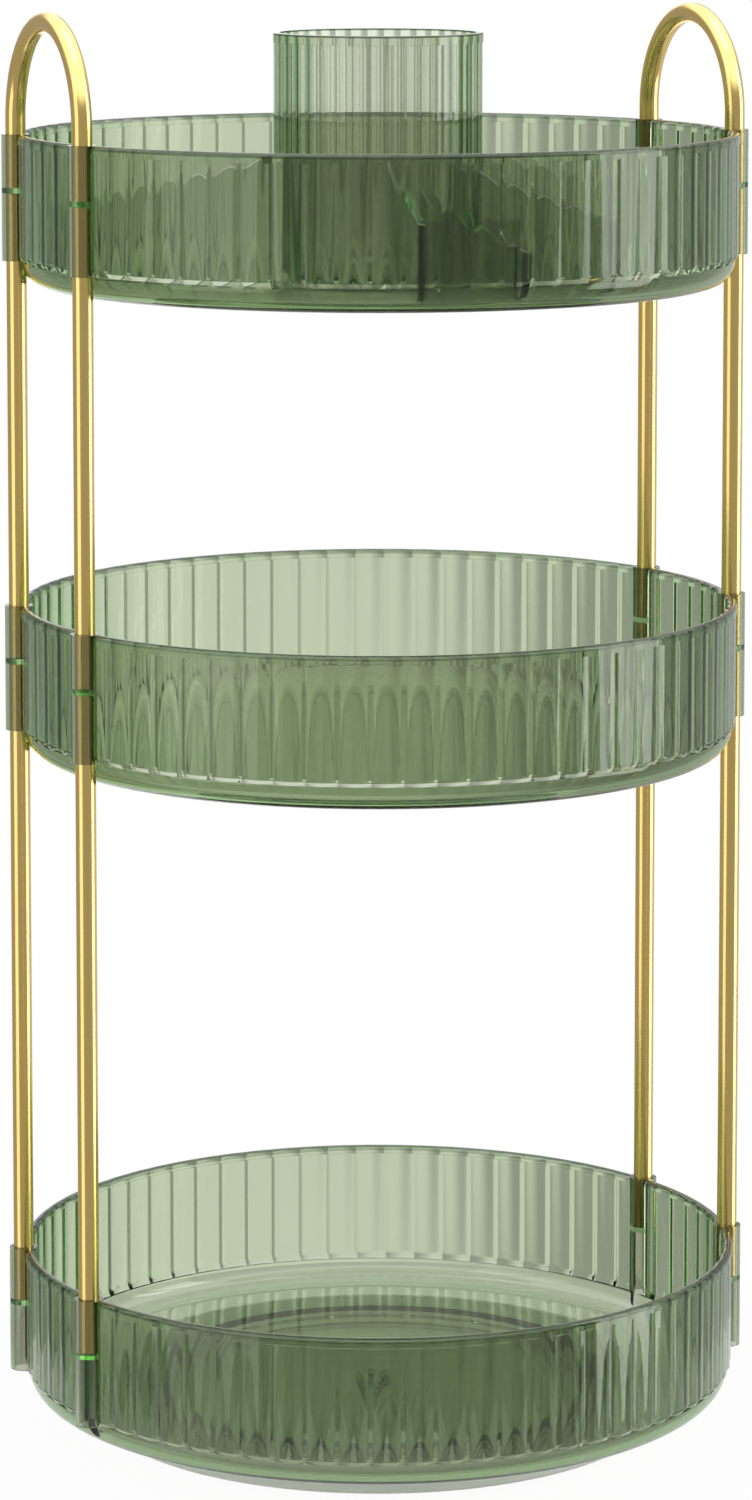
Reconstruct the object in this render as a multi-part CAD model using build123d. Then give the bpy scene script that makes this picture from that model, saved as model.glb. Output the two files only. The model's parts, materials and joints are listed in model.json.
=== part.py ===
"""Rotating makeup organizer: three reeded trays on gold posts, a lift-out divider insert and a turntable base.

Millimetres, +Z up. The origin is the centre of the circle that the feet stand on, at table height.
X runs through the two handles, and -Y is the front, where the low divider is.
"""
from math import cos, radians, sin
import os

from build123d import *

# Counts and angles in degrees
FULL_TURN = 360
HALF_TURN = 180
REED_COUNT = 72
CUP_REED_COUNT = 36
BALL_COUNT = 18
FOOT_COUNT = 6
SCREW_SLOT_COUNT = 2
REED_TURN = -1.25
POST_ANGLE = 16.0
INSERT_TURN = 1.4
FRONT_ANGLE = -90.0
NARROW_POCKET_ANGLE = 17.0
REAR_DIVIDER_ANGLE = 99.0

# One overrun serves all cuts
OVERRUN = 1.0

# Trays: three equal mouldings, one above the other
TRAY_RADIUS = 115.0
TRAY_HEIGHT = 48.0
TRAY_WALL = 2.6
TRAY_FLOOR = 2.5
RIM_BAND = 3.0
RIM_ROUND = 0.5
REED_SETBACK = 0.3
REED_DEPTH = 1.0
INNER_REED_LIFT = 0.7
BOWL_INSET = 2.0
BOWL_CORNER = 8.0
LOWER_GAP = 209.0
UPPER_GAP = 150.0

# Sockets on the tray walls, and the tubes that stand in them
POST_RADIUS = 3.2
POST_WALL = 0.8
POST_CLEARANCE = 0.05
SOCKET_WALL = 1.25
SOCKET_UPPER_DEPTH = 16.9
SOCKET_WEB = 1.7
HANDLE_LEG = 4.6

# Lift-out insert in the top tray
INSERT_CLEARANCE = 0.1
CUP_RADIUS = 33.5
CUP_WALL = 1.8
CUP_FLOOR = 2.0
CUP_RISE = 31.5
CUP_REED_DEPTH = 0.6
CUP_CORNER = 4.0
CUP_FOOT_INSET = 0.4
DIVIDER_THICKNESS = 2.3
DIVIDER_END_GAP = 2.4
DIVIDER_CORNER = 6.0
DIVIDER_TOP_AT_CUP = 7.5
DIVIDER_TOP_AT_END = 21.5
LOW_DIVIDER_STEP = 8.5
POCKET_WALL_TOP = 20.5
POCKET_WALL_MARGIN = 0.2

# Turntable base
BASE_HEIGHT = 9.0
BASE_WALL = 2.2
BASE_PLATE = 2.0
BASE_ROUND = 1.0
BASE_GAP = 0.8
BASE_RACE_MARGIN = 13.3
FOOT_HEIGHT = 1.0
FOOT_RECESS = 0.5
FOOT_RADIUS = 6.0
FOOT_RACE_OFFSET = 6.5
FOOT_CLEARANCE = 0.1

# Ball bearing between the base and the bottom tray
RACE_RADIUS = 73.5
RACE_EDGE = 0.75
RACE_THICKNESS = 1.25
GROOVE_DEPTH = 0.6
GROOVE_LAND = 1.2
BALL_CLEARANCE = 0.1
CAGE_EDGE = 1.1
CAGE_THICKNESS = 1.4
CAGE_CLEARANCE = 0.15

# Pivot in the middle of the base
PIN_RADIUS = 3.5
PIN_CLEARANCE = 0.05
BUSH_WALL = 2.0
BUSH_STAND = 0.5
HUB_WALL = 2.5
HUB_MARGIN = 2.0
HUB_RECESS = 2.5
PIVOT_GAP = 0.15
SHOULDER_RADIUS = 6.0
SHOULDER_GAP = 0.2
WASHER_RADIUS = 8.5
WASHER_THICKNESS = 0.8
WASHER_MARGIN = 2.5
SCREW_RADIUS = 1.25
SCREW_CLEARANCE = 0.05
SCREW_BITE = 0.3
SCREW_HEAD_RADIUS = 3.0
SCREW_HEAD_HEIGHT = 1.2
SCREW_SLOT_LENGTH = 3.6
SCREW_SLOT_WIDTH = 0.8
SCREW_SLOT_DEPTH = 0.7

# Heights above the table
BOTTOM_TRAY_Z = BASE_HEIGHT
MIDDLE_TRAY_Z = BOTTOM_TRAY_Z + LOWER_GAP
TOP_TRAY_Z = MIDDLE_TRAY_Z + UPPER_GAP
TOP_RIM_Z = TOP_TRAY_Z + TRAY_HEIGHT
PLATE_TOP_Z = FOOT_HEIGHT + BASE_PLATE
BASE_RIM_Z = BASE_HEIGHT - BASE_GAP
LOWER_RACE_TOP_Z = PLATE_TOP_Z + RACE_THICKNESS
UPPER_RACE_Z = BASE_HEIGHT - RACE_THICKNESS
BALL_Z = (LOWER_RACE_TOP_Z + UPPER_RACE_Z) / 2
HUB_RECESS_Z = FOOT_HEIGHT + HUB_RECESS
HUB_TOP_Z = HUB_RECESS_Z + HUB_WALL
BUSH_TOP_Z = HUB_TOP_Z + BUSH_STAND
SHOULDER_Z = BUSH_TOP_Z + SHOULDER_GAP
PIN_Z = HUB_RECESS_Z - PIVOT_GAP
WASHER_Z = PIN_Z - WASHER_THICKNESS
SCREW_HEAD_Z = WASHER_Z - SCREW_HEAD_HEIGHT
SCREW_TIP_Z = BASE_HEIGHT + SCREW_BITE
INSERT_Z = TOP_TRAY_Z + TRAY_FLOOR + INSERT_CLEARANCE

# Sizes worked out from the ones above
REED_CREST = TRAY_RADIUS - REED_SETBACK
BOWL_RADIUS = TRAY_RADIUS - BOWL_INSET
CAVITY_RADIUS = BOWL_RADIUS - TRAY_WALL
CAVITY_CORNER = BOWL_CORNER - TRAY_FLOOR
BORE_RADIUS = POST_RADIUS + POST_CLEARANCE
SOCKET_RADIUS = BORE_RADIUS + SOCKET_WALL
WEB_TOP = TRAY_HEIGHT - SOCKET_UPPER_DEPTH
WEB_BOTTOM = WEB_TOP - SOCKET_WEB
POST_X = TRAY_RADIUS * cos(radians(POST_ANGLE))
POST_Y = TRAY_RADIUS * sin(radians(POST_ANGLE))
CUP_HEIGHT = TOP_RIM_Z + CUP_RISE - INSERT_Z
CUP_CREST = CUP_RADIUS - REED_SETBACK
DIVIDER_REACH = CAVITY_RADIUS - DIVIDER_END_GAP
BALL_RADIUS = (UPPER_RACE_Z - LOWER_RACE_TOP_Z) / 2 + GROOVE_DEPTH - BALL_CLEARANCE
RACE_HALF_WIDTH = BALL_RADIUS + RACE_EDGE
GROOVE_HALF_WIDTH = RACE_HALF_WIDTH - GROOVE_LAND
CAGE_HALF_WIDTH = BALL_RADIUS + CAGE_CLEARANCE + CAGE_EDGE
BASE_INNER_RADIUS = RACE_RADIUS + RACE_HALF_WIDTH + BASE_RACE_MARGIN
BASE_RADIUS = BASE_INNER_RADIUS + BASE_WALL
FOOT_CIRCLE = RACE_RADIUS + FOOT_RACE_OFFSET
BUSH_RADIUS = PIN_RADIUS + PIN_CLEARANCE + BUSH_WALL
HUB_RECESS_RADIUS = WASHER_RADIUS + WASHER_MARGIN
HUB_RADIUS = HUB_RECESS_RADIUS + HUB_MARGIN
SCREW_HOLE_RADIUS = SCREW_RADIUS + SCREW_CLEARANCE


def round_bar(radius, bottom, top):
    """Upright cylinder on the Z axis between two heights."""
    return Pos(0, 0, bottom) * Cylinder(radius, top - bottom, align=(Align.CENTER, Align.CENTER, Align.MIN))


def ring(outer, inner, bottom, top):
    """Upright ring on the Z axis between two heights."""
    return round_bar(outer, bottom, top) - round_bar(inner, bottom - OVERRUN, top + OVERRUN)


def polar(radius, angle):
    """Point on a circle round the Z axis."""
    return radius * cos(radians(angle)), radius * sin(radians(angle))


def rounded_bottom(radius, corner, bottom, top):
    """Upright cylinder whose lower edge is rounded."""
    body = round_bar(radius, bottom, top)
    return fillet(body.edges().group_by(Axis.Z)[0], corner)


def reeded_bar(crest, depth, count, bottom, top):
    """Upright bar whose outline is a ring of outward scallops that meet in sharp valleys."""
    pitch = FULL_TURN / count
    scallops = []
    for index in range(count):
        middle = REED_TURN + index * pitch
        start = polar(crest - depth, middle - pitch / 2)
        end = polar(crest - depth, middle + pitch / 2)
        scallops.append(ThreePointArc(start, polar(crest, middle), end))
    outline = make_face(scallops)
    return Pos(0, 0, bottom) * extrude(outline, top - bottom)


def post_places():
    """Name ending and position of the four posts of a tier."""
    return {
        "left_front": (-POST_X, -POST_Y),
        "left_back": (-POST_X, POST_Y),
        "right_front": (POST_X, -POST_Y),
        "right_back": (POST_X, POST_Y),
    }


def make_tray():
    """One tray with its underside at height zero."""
    reed_end = BOWL_CORNER
    inner_reed_end = reed_end + INNER_REED_LIFT
    band = round_bar(TRAY_RADIUS, TRAY_HEIGHT - RIM_BAND, TRAY_HEIGHT)
    band = fillet(band.edges().group_by(Axis.Z)[-1], RIM_ROUND)
    reeds = reeded_bar(REED_CREST, REED_DEPTH, REED_COUNT, reed_end, TRAY_HEIGHT - RIM_BAND)
    bowl = rounded_bottom(BOWL_RADIUS, BOWL_CORNER, 0, reed_end + OVERRUN)
    inner_crest = REED_CREST - TRAY_WALL
    well = reeded_bar(inner_crest, REED_DEPTH, REED_COUNT, inner_reed_end, TRAY_HEIGHT + OVERRUN)
    sump = rounded_bottom(CAVITY_RADIUS, CAVITY_CORNER, TRAY_FLOOR, inner_reed_end + OVERRUN)
    tray = band + reeds + bowl - well - sump
    for place in post_places().values():
        tray += Pos(*place, 0) * round_bar(SOCKET_RADIUS, reed_end, TRAY_HEIGHT)
    for place in post_places().values():
        tray -= Pos(*place, 0) * round_bar(BORE_RADIUS, WEB_TOP, TRAY_HEIGHT + OVERRUN)
        tray -= Pos(*place, 0) * round_bar(BORE_RADIUS, -OVERRUN, WEB_BOTTOM)
    return tray


def add_pivot_pin(tray):
    """Bottom tray in its place, with the pin that turns in the base."""
    tray = Pos(0, 0, BOTTOM_TRAY_Z) * tray
    shoulder = round_bar(SHOULDER_RADIUS, SHOULDER_Z, BOTTOM_TRAY_Z)
    pin = round_bar(PIN_RADIUS, PIN_Z, SHOULDER_Z)
    pilot = round_bar(SCREW_HOLE_RADIUS, PIN_Z - OVERRUN, SCREW_TIP_Z + SCREW_BITE)
    return tray + shoulder + pin - pilot


def make_post(bottom_tray_z, top_tray_z):
    """Straight tube from a tray's upper socket to the lower socket of the tray above."""
    return ring(POST_RADIUS, POST_RADIUS - POST_WALL, bottom_tray_z + WEB_TOP, top_tray_z + WEB_BOTTOM)


def make_handle(x):
    """Tube bent to a U over the two posts at one side."""
    foot_z = TOP_TRAY_Z + WEB_TOP
    spring_z = TOP_RIM_Z + HANDLE_LEG
    front_leg = Line((x, -POST_Y, foot_z), (x, -POST_Y, spring_z))
    bow = ThreePointArc((x, -POST_Y, spring_z), (x, 0, spring_z + POST_Y), (x, POST_Y, spring_z))
    back_leg = Line((x, POST_Y, spring_z), (x, POST_Y, foot_z))
    section = Circle(POST_RADIUS) - Circle(POST_RADIUS - POST_WALL)
    section = Pos(x, -POST_Y, foot_z) * section
    return sweep(section, path=front_leg + bow + back_leg)


def make_cup():
    """Reeded brush cup with a plain rim band and a rounded foot."""
    top = INSERT_Z + CUP_HEIGHT
    foot_top = INSERT_Z + CUP_CORNER
    band = round_bar(CUP_RADIUS, top - RIM_BAND, top)
    band = fillet(band.edges().group_by(Axis.Z)[-1], RIM_ROUND)
    reeds = reeded_bar(CUP_CREST, CUP_REED_DEPTH, CUP_REED_COUNT, foot_top, top - RIM_BAND)
    foot_radius = CUP_CREST - CUP_REED_DEPTH - CUP_FOOT_INSET
    foot = rounded_bottom(foot_radius, CUP_CORNER, INSERT_Z, foot_top + OVERRUN)
    inner_crest = CUP_CREST - CUP_WALL
    well = reeded_bar(inner_crest, CUP_REED_DEPTH, CUP_REED_COUNT, foot_top, top + OVERRUN)
    sump_radius = foot_radius - CUP_WALL
    sump = rounded_bottom(sump_radius, CUP_CORNER - CUP_FLOOR, INSERT_Z + CUP_FLOOR, foot_top + OVERRUN)
    return band + reeds + foot - well - sump


def make_divider(angle, lowering):
    """Upright plate from the cup towards the tray wall, with a sloping top and a rounded lower corner."""
    inner = CUP_CREST - CUP_REED_DEPTH - CUP_WALL / 2
    top_at_cup = TOP_RIM_Z - DIVIDER_TOP_AT_CUP - lowering
    top_at_end = TOP_RIM_Z - DIVIDER_TOP_AT_END - lowering
    corner_x = DIVIDER_REACH - DIVIDER_CORNER
    corner_z = INSERT_Z + DIVIDER_CORNER
    outline = [
        Line((inner, INSERT_Z), (corner_x, INSERT_Z)),
        RadiusArc((corner_x, INSERT_Z), (DIVIDER_REACH, corner_z), -DIVIDER_CORNER),
        Line((DIVIDER_REACH, corner_z), (DIVIDER_REACH, top_at_end)),
        Line((DIVIDER_REACH, top_at_end), (inner, top_at_cup)),
        Line((inner, top_at_cup), (inner, INSERT_Z)),
    ]
    plate = extrude(Plane.XZ * make_face(outline), DIVIDER_THICKNESS / 2, both=True)
    return Rot(0, 0, angle) * plate


def make_pocket_wall(start_angle, end_angle):
    """Curved wall that closes the narrow pocket between two dividers."""
    outer = CAVITY_RADIUS - CAVITY_CORNER - POCKET_WALL_MARGIN
    middle = outer - DIVIDER_THICKNESS / 2
    height = TOP_RIM_Z - POCKET_WALL_TOP - INSERT_Z
    section = Plane.XZ * Pos(middle, INSERT_Z + height / 2) * Rectangle(DIVIDER_THICKNESS, height)
    return Rot(0, 0, start_angle) * revolve(section, Axis.Z, end_angle - start_angle)


def make_insert():
    """Cup, dividers and pocket wall in one moulding."""
    front = FRONT_ANGLE + INSERT_TURN
    insert = make_cup()
    for side in (-REAR_DIVIDER_ANGLE, -NARROW_POCKET_ANGLE, NARROW_POCKET_ANGLE, REAR_DIVIDER_ANGLE):
        insert += make_divider(front + side, 0)
    insert += make_divider(front, LOW_DIVIDER_STEP)
    insert += make_pocket_wall(front - NARROW_POCKET_ANGLE, front)
    return insert


def foot_places():
    """Centres of the foot pads."""
    return PolarLocations(FOOT_CIRCLE, FOOT_COUNT)


def make_base():
    """Open dish with a hub for the bush, a recess for the screw and seats for the pads."""
    dish = round_bar(BASE_RADIUS, FOOT_HEIGHT, BASE_RIM_Z)
    dish = fillet(dish.edges().group_by(Axis.Z)[0], BASE_ROUND)
    dish -= round_bar(BASE_INNER_RADIUS, PLATE_TOP_Z, BASE_RIM_Z + OVERRUN)
    dish += round_bar(HUB_RADIUS, FOOT_HEIGHT, HUB_TOP_Z)
    dish -= round_bar(HUB_RECESS_RADIUS, FOOT_HEIGHT - OVERRUN, HUB_RECESS_Z)
    dish -= round_bar(BUSH_RADIUS, FOOT_HEIGHT - OVERRUN, HUB_TOP_Z + OVERRUN)
    seat_top = FOOT_HEIGHT + FOOT_RECESS
    seat = round_bar(FOOT_RADIUS + FOOT_CLEARANCE, FOOT_HEIGHT - OVERRUN, seat_top)
    for place in foot_places():
        dish -= place * seat
    return dish


def make_foot_pads():
    """Round rubber pads, seated in the base and standing on the table."""
    pad = round_bar(FOOT_RADIUS, 0, FOOT_HEIGHT + FOOT_RECESS)
    return Compound([place * pad for place in foot_places()])


def make_race(bottom, top, groove_bottom, groove_top):
    """Flat ring with a ball groove in one face."""
    track = ring(RACE_RADIUS + RACE_HALF_WIDTH, RACE_RADIUS - RACE_HALF_WIDTH, bottom, top)
    groove_outer = RACE_RADIUS + GROOVE_HALF_WIDTH
    groove_inner = RACE_RADIUS - GROOVE_HALF_WIDTH
    return track - ring(groove_outer, groove_inner, groove_bottom, groove_top)


def ball_places():
    """Centres of the bearing balls."""
    return Pos(0, 0, BALL_Z) * PolarLocations(RACE_RADIUS, BALL_COUNT)


def make_balls():
    """Bearing balls as separate solids."""
    ball = Sphere(BALL_RADIUS)
    return Compound([place * ball for place in ball_places()])


def make_cage():
    """Ring with a hole round each ball."""
    outer = RACE_RADIUS + CAGE_HALF_WIDTH
    inner = RACE_RADIUS - CAGE_HALF_WIDTH
    half_height = CAGE_THICKNESS / 2
    cage = ring(outer, inner, BALL_Z - half_height, BALL_Z + half_height)
    hole = Cylinder(BALL_RADIUS + CAGE_CLEARANCE, CAGE_THICKNESS + OVERRUN)
    for place in ball_places():
        cage -= place * hole
    return cage


def make_screw():
    """Pan-head screw with a cross slot, driven up into the bottom tray's pin."""
    head = round_bar(SCREW_HEAD_RADIUS, SCREW_HEAD_Z, WASHER_Z)
    shank = round_bar(SCREW_RADIUS, WASHER_Z, SCREW_TIP_Z)
    screw = head + shank
    slot = Box(SCREW_SLOT_LENGTH, SCREW_SLOT_WIDTH, SCREW_SLOT_DEPTH, align=(Align.CENTER, Align.CENTER, Align.MIN))
    for index in range(SCREW_SLOT_COUNT):
        turn = index * HALF_TURN / SCREW_SLOT_COUNT
        screw -= Pos(0, 0, SCREW_HEAD_Z) * Rot(0, 0, turn) * slot
    return screw


def make_parts():
    """All nodes by name."""
    tray = make_tray()
    parts = {
        "bottom_tray": add_pivot_pin(tray),
        "middle_tray": Pos(0, 0, MIDDLE_TRAY_Z) * tray,
        "top_tray": Pos(0, 0, TOP_TRAY_Z) * tray,
        "left_handle": make_handle(-POST_X),
        "right_handle": make_handle(POST_X),
        "divider_insert": make_insert(),
        "base_dish": make_base(),
        "foot_pads": make_foot_pads(),
        "lower_race": make_race(
            PLATE_TOP_Z, LOWER_RACE_TOP_Z, LOWER_RACE_TOP_Z - GROOVE_DEPTH, LOWER_RACE_TOP_Z + OVERRUN
        ),
        "upper_race": make_race(UPPER_RACE_Z, BASE_HEIGHT, UPPER_RACE_Z - OVERRUN, UPPER_RACE_Z + GROOVE_DEPTH),
        "bearing_balls": make_balls(),
        "ball_cage": make_cage(),
        "pivot_bush": ring(BUSH_RADIUS, PIN_RADIUS + PIN_CLEARANCE, HUB_RECESS_Z, BUSH_TOP_Z),
        "pivot_washer": ring(WASHER_RADIUS, SCREW_HOLE_RADIUS, WASHER_Z, PIN_Z),
        "pivot_screw": make_screw(),
    }
    for ending, place in post_places().items():
        parts["lower_post_" + ending] = Pos(*place, 0) * make_post(BOTTOM_TRAY_Z, MIDDLE_TRAY_Z)
        parts["upper_post_" + ending] = Pos(*place, 0) * make_post(MIDDLE_TRAY_Z, TOP_TRAY_Z)
    return parts


os.makedirs("parts", exist_ok=True)
for node, shape in make_parts().items():
    export_step(shape, "parts/" + node + ".step")
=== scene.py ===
"""Looks of the rotating makeup organizer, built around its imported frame.

Metres, +Z up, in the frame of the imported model: X runs through the handles, and -Y is the front.
"""
from __future__ import annotations

import json
import logging
import math
from dataclasses import dataclass, field
from enum import Enum
from typing import Any

import bmesh
import bpy
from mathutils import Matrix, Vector


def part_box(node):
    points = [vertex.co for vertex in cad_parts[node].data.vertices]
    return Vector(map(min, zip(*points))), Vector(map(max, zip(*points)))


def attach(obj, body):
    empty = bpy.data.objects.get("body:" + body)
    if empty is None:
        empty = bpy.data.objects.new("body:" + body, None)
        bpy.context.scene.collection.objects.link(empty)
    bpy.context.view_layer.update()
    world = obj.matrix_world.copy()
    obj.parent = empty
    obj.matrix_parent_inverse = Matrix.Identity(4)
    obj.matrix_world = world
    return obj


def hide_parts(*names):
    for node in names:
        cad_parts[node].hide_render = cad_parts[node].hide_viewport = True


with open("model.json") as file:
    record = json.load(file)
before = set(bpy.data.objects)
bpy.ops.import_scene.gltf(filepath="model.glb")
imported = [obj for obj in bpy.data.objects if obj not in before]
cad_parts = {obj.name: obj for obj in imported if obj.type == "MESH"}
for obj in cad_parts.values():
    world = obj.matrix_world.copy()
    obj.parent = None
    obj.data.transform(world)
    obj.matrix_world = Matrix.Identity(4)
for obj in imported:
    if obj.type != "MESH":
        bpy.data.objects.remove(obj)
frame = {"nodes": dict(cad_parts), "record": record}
log = logging.getLogger("makeup_organizer")

FULL_TURN = 2 * math.pi
MERGE_DISTANCE = 2e-7
CREASE_ANGLE = math.radians(27)
HALF = 0.5
REED_POWER = 2
GROOVE_POWER = 4
POST_COUNT = 4
INWARDS = -1.0

# Angles of a profile's arcs, in degrees
QUARTER_TURN = 90
HALF_TURN = 180

# Places of a colour mix node's sockets
MIX_SHARE = 0
MIX_FIRST = 6
MIX_SECOND = 7
MIX_RESULT = 2

Point = tuple[float, float]
Colour = tuple[float, float, float]


class Body(Enum):
    """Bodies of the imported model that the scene's own pieces ride on."""

    CAROUSEL = "carousel"
    INSERT = "insert"


class Slot(Enum):
    """Material slots of the record."""

    GREEN = "green_plastic"
    GOLD = "gold_metal"
    WHITE = "white_plastic"
    RUBBER = "rubber"
    RACE = "race_steel"
    BALL = "ball_steel"
    CAGE = "cage_plastic"


class Sketch:
    """Adds nodes to a node tree and links them."""

    def __init__(self, tree: bpy.types.NodeTree) -> None:
        """Keep the tree."""
        self.tree = tree

    def add(self, kind: str, **inputs: Any) -> bpy.types.Node:
        """Add a node and fill its inputs.

        Args:
            kind: The node's type name.
            inputs: Socket names, with spaces written as underscores, and their values or source sockets.

        Returns:
            The new node.
        """
        node = self.tree.nodes.new(kind)
        for name, value in inputs.items():
            self.feed(node.inputs[name.replace("_", " ")], value)
        return node

    def feed(self, socket: bpy.types.NodeSocket, value: Any) -> None:
        """Link a source socket to an input, or set the input's own value.

        Args:
            socket: The input.
            value: A source socket or a plain value.
        """
        if isinstance(value, bpy.types.NodeSocket):
            self.tree.links.new(value, socket)
        else:
            socket.default_value = value

    def math(self, operation: str, *values: Any) -> bpy.types.NodeSocket:
        """Add a math node and return its result.

        Args:
            operation: The node's operation.
            values: Numbers or sockets, in the order of the node's inputs.

        Returns:
            The result socket.
        """
        node = self.tree.nodes.new("ShaderNodeMath")
        node.operation = operation
        for socket, value in zip(node.inputs, values):
            self.feed(socket, value)
        return node.outputs[0]

    def blend(self, share: Any, first: Any, second: Any) -> bpy.types.NodeSocket:
        """Add a colour mix node and return its colour.

        Args:
            share: How much of the second colour there is.
            first: Colour or socket at share 0.
            second: Colour or socket at share 1.

        Returns:
            The mixed colour's socket.
        """
        node = self.tree.nodes.new("ShaderNodeMix")
        node.data_type = "RGBA"
        self.feed(node.inputs[MIX_SHARE], share)
        self.feed(node.inputs[MIX_FIRST], first)
        self.feed(node.inputs[MIX_SECOND], second)
        return node.outputs[MIX_RESULT]


def new_group(kind: str, name: str, inputs: dict[str, str],
              outputs: dict[str, str]) -> tuple[Sketch, Any, Any]:
    """Make an empty node group with named sockets.

    Args:
        kind: Type of the tree.
        name: Name of the group.
        inputs: Input names and their socket types.
        outputs: Output names and their socket types.

    Returns:
        The sketch of the tree, its input node's outputs and its output node's inputs.
    """
    tree = bpy.data.node_groups.new(name, kind)
    for label, socket_type in inputs.items():
        tree.interface.new_socket(label, in_out="INPUT", socket_type=socket_type)
    for label, socket_type in outputs.items():
        tree.interface.new_socket(label, in_out="OUTPUT", socket_type=socket_type)
    source = tree.nodes.new("NodeGroupInput")
    target = tree.nodes.new("NodeGroupOutput")
    return Sketch(tree), source.outputs, target.inputs


class Workshop:
    """Geometry node trees that turn, socket and bend the pieces, and the way they become plain meshes."""

    def __init__(self) -> None:
        """Build each tree once."""
        self.turning = self._turning_tree()
        self.sockets = self._socket_tree()
        self.tube = self._tube_tree()

    @staticmethod
    def _end_tree(sketch: Sketch, given: Any, result: Any, shape: Any) -> bpy.types.NodeTree:
        """End a tree in real geometry with its material.

        Args:
            sketch: Sketch of the tree.
            given: The tree's inputs.
            result: The tree's outputs.
            shape: The finished geometry.

        Returns:
            The tree.
        """
        real = sketch.add("GeometryNodeRealizeInstances", Geometry=shape)
        dressed = sketch.add("GeometryNodeSetMaterial", Geometry=real.outputs[0], Material=given["Material"])
        sketch.feed(result["Mesh"], dressed.outputs[0])
        return sketch.tree

    @staticmethod
    def _turning_tree() -> bpy.types.NodeTree:
        """Tree that turns a profile round Z and lets its reeded points follow the reeds.

        Returns:
            The tree. A profile point's "reed" and "groove" attributes say how much of the reed depth it
            takes, as a wide hollow or a narrow one, and its "edge" attribute, its share of painted edge
            shade, goes on to the turned mesh.
        """
        sketch, given, result = new_group(
            "GeometryNodeTree", "reeded_turning",
            {"Profile": "NodeSocketGeometry", "Rows": "NodeSocketInt", "Columns": "NodeSocketInt",
             "Columns per Reed": "NodeSocketInt", "Reed Turn": "NodeSocketFloat",
             "Reed Depth": "NodeSocketFloat", "Merge": "NodeSocketFloat", "Material": "NodeSocketMaterial"},
            {"Mesh": "NodeSocketGeometry"})
        ring = sketch.math("ADD", given["Columns"], 1)
        grid = sketch.add("GeometryNodeMeshGrid", Vertices_X=ring, Vertices_Y=given["Rows"])
        index = sketch.add("GeometryNodeInputIndex").outputs[0]
        row = sketch.math("FLOORED_MODULO", index, given["Rows"])
        column = sketch.math("FLOOR", sketch.math("DIVIDE", sketch.math("ADD", index, HALF), given["Rows"]))
        step = sketch.math("DIVIDE", FULL_TURN, given["Columns"])
        angle = sketch.math("MULTIPLY_ADD", column, step, given["Reed Turn"])
        reeds_past = sketch.math("DIVIDE", column, given["Columns per Reed"])
        phase = sketch.math("FRACT", sketch.math("ADD", reeds_past, HALF))
        off_middle = sketch.math("ABSOLUTE", sketch.math("SUBTRACT", phase, HALF))
        across = sketch.math("DIVIDE", off_middle, HALF)

        def of_row(kind: str, value: bpy.types.NodeSocket) -> bpy.types.NodeSocket:
            """Value of the profile point that a row of the grid belongs to.

            Args:
                kind: Data type of the value.
                value: The value on the profile.

            Returns:
                The value on the grid.
            """
            node = sketch.add("GeometryNodeSampleIndex")
            node.data_type = kind
            sketch.feed(node.inputs["Geometry"], given["Profile"])
            sketch.feed(node.inputs["Value"], value)
            sketch.feed(node.inputs["Index"], row)
            return node.outputs[0]

        place = of_row("FLOAT_VECTOR", sketch.add("GeometryNodeInputPosition").outputs[0])
        point = sketch.add("ShaderNodeSeparateXYZ", Vector=place)
        shares = {name: of_row("FLOAT", sketch.add("GeometryNodeInputNamedAttribute", Name=name).outputs[0])
                  for name in ("reed", "groove", "edge")}
        reed = sketch.math("MULTIPLY", shares["reed"], sketch.math("POWER", across, REED_POWER))
        groove = sketch.math("MULTIPLY", shares["groove"], sketch.math("POWER", across, GROOVE_POWER))
        cut = sketch.math("MULTIPLY", sketch.math("ADD", reed, groove), given["Reed Depth"])
        radius = sketch.math("SUBTRACT", point.outputs["X"], cut)
        x = sketch.math("MULTIPLY", radius, sketch.math("COSINE", angle))
        y = sketch.math("MULTIPLY", radius, sketch.math("SINE", angle))
        spot = sketch.add("ShaderNodeCombineXYZ", X=x, Y=y, Z=point.outputs["Z"])
        turned = sketch.add("GeometryNodeSetPosition", Geometry=grid.outputs["Mesh"],
                            Position=spot.outputs[0])
        # Carry each point's share of painted edge shade on to the mesh
        marked = sketch.add("GeometryNodeStoreNamedAttribute", Geometry=turned.outputs[0], Name="edge",
                            Value=shares["edge"])
        closed = sketch.add("GeometryNodeMergeByDistance", Geometry=marked.outputs[0],
                            Distance=given["Merge"])
        return Workshop._end_tree(sketch, given, result, closed.outputs[0])

    @staticmethod
    def _socket_tree() -> bpy.types.NodeTree:
        """Tree that joins four upright sockets to a tray and bores them from both ends.

        Returns:
            The tree.
        """
        sizes = ("Post X", "Post Y", "Socket Radius", "Bore Radius", "Socket Bottom", "Rim", "Web Top",
                 "Web Bottom", "Underside", "Overrun")
        sockets = {"Tray": "NodeSocketGeometry", "Sides": "NodeSocketInt", "Material": "NodeSocketMaterial"}
        sketch, given, result = new_group(
            "GeometryNodeTree", "post_sockets", sockets | {label: "NodeSocketFloat" for label in sizes},
            {"Mesh": "NodeSocketGeometry"})
        index = sketch.add("GeometryNodeInputIndex").outputs[0]
        # A post's number gives the signs of its X and Y
        side = sketch.math("MULTIPLY_ADD", sketch.math("FLOORED_MODULO", index, 2), -2, 1)
        end = sketch.math("MULTIPLY_ADD", sketch.math("FLOOR", sketch.math("DIVIDE", index, 2)), -2, 1)
        spot = sketch.add("ShaderNodeCombineXYZ", X=sketch.math("MULTIPLY", side, given["Post X"]),
                          Y=sketch.math("MULTIPLY", end, given["Post Y"]))
        points = sketch.add("GeometryNodePoints", Count=POST_COUNT, Position=spot.outputs[0])

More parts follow.
